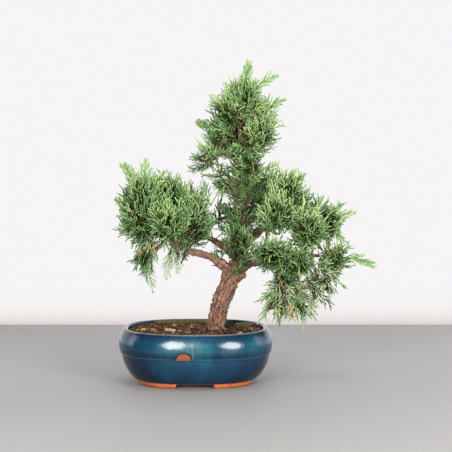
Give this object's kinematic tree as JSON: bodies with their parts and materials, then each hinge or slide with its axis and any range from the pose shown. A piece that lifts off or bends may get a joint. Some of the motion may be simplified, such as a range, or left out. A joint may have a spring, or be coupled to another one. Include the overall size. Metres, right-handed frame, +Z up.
{
  "type": "potted juniper bonsai",
  "caption": "Small juniper bonsai with a leaning trunk and layered sprays of scale leaves, planted in a glazed oval pot on feet.",
  "frame": {"origin": "middle of the whole plant's bounding box in plan, at the height of the undersides of the pot's feet", "axes": "+Z up, the plant's height; +X along the pot's long side, to the right as seen from the front; +Y from the front to the back"},
  "size_m": [0.2672, 0.128, 0.333],
  "materials": {
    "glaze": "gloss",
    "soil": "matte",
    "bark": "matte",
    "foliage": "matte",
    "moss": "matte",
    "chip": "matte",
    "net": "satin",
    "wire": "satin"
  },
  "bodies": {
    "root": {"pot": "glaze", "drain_net_left": "net", "drain_net_right": "net", "net_clip_left": "wire", "net_clip_right": "wire", "soil": "soil", "trunk": "bark", "bark_chip_1": "chip", "bark_chip_2": "chip", "bark_chip_3": "chip", "bark_chip_4": "chip", "bark_chip_5": "chip", "bark_chip_6": "chip", "bark_chip_7": "chip", "bark_chip_8": "chip", "moss_back": "moss", "moss_right": "moss", "spray_crown_back": "foliage", "spray_crown_front": "foliage", "spray_crown_high_left": "foliage", "spray_crown_high_right": "foliage", "spray_crown_left": "foliage", "spray_crown_left_low": "foliage", "spray_crown_low": "foliage", "spray_crown_low_left": "foliage", "spray_crown_low_right": "foliage", "spray_crown_right": "foliage", "spray_crown_top": "foliage", "spray_left_back": "foliage", "spray_left_front": "foliage", "spray_left_hanging": "foliage", "spray_left_hanging_inner": "foliage", "spray_left_inner_low": "foliage", "spray_left_inner_top": "foliage", "spray_left_middle": "foliage", "spray_left_outer": "foliage", "spray_left_outer_top": "foliage", "spray_left_rear": "foliage", "spray_middle_back": "foliage", "spray_middle_front": "foliage", "spray_right_back": "foliage", "spray_right_lower": "foliage", "spray_right_lower_outer": "foliage", "spray_right_lowest": "foliage", "spray_right_lowest_outer": "foliage", "spray_right_middle": "foliage", "spray_right_middle_outer": "foliage", "spray_right_outer": "foliage", "spray_right_outer_front": "foliage", "spray_right_rear": "foliage", "spray_right_tip": "foliage", "spray_right_top": "foliage", "spray_right_upper": "foliage"}
  },
  "joints": []
}
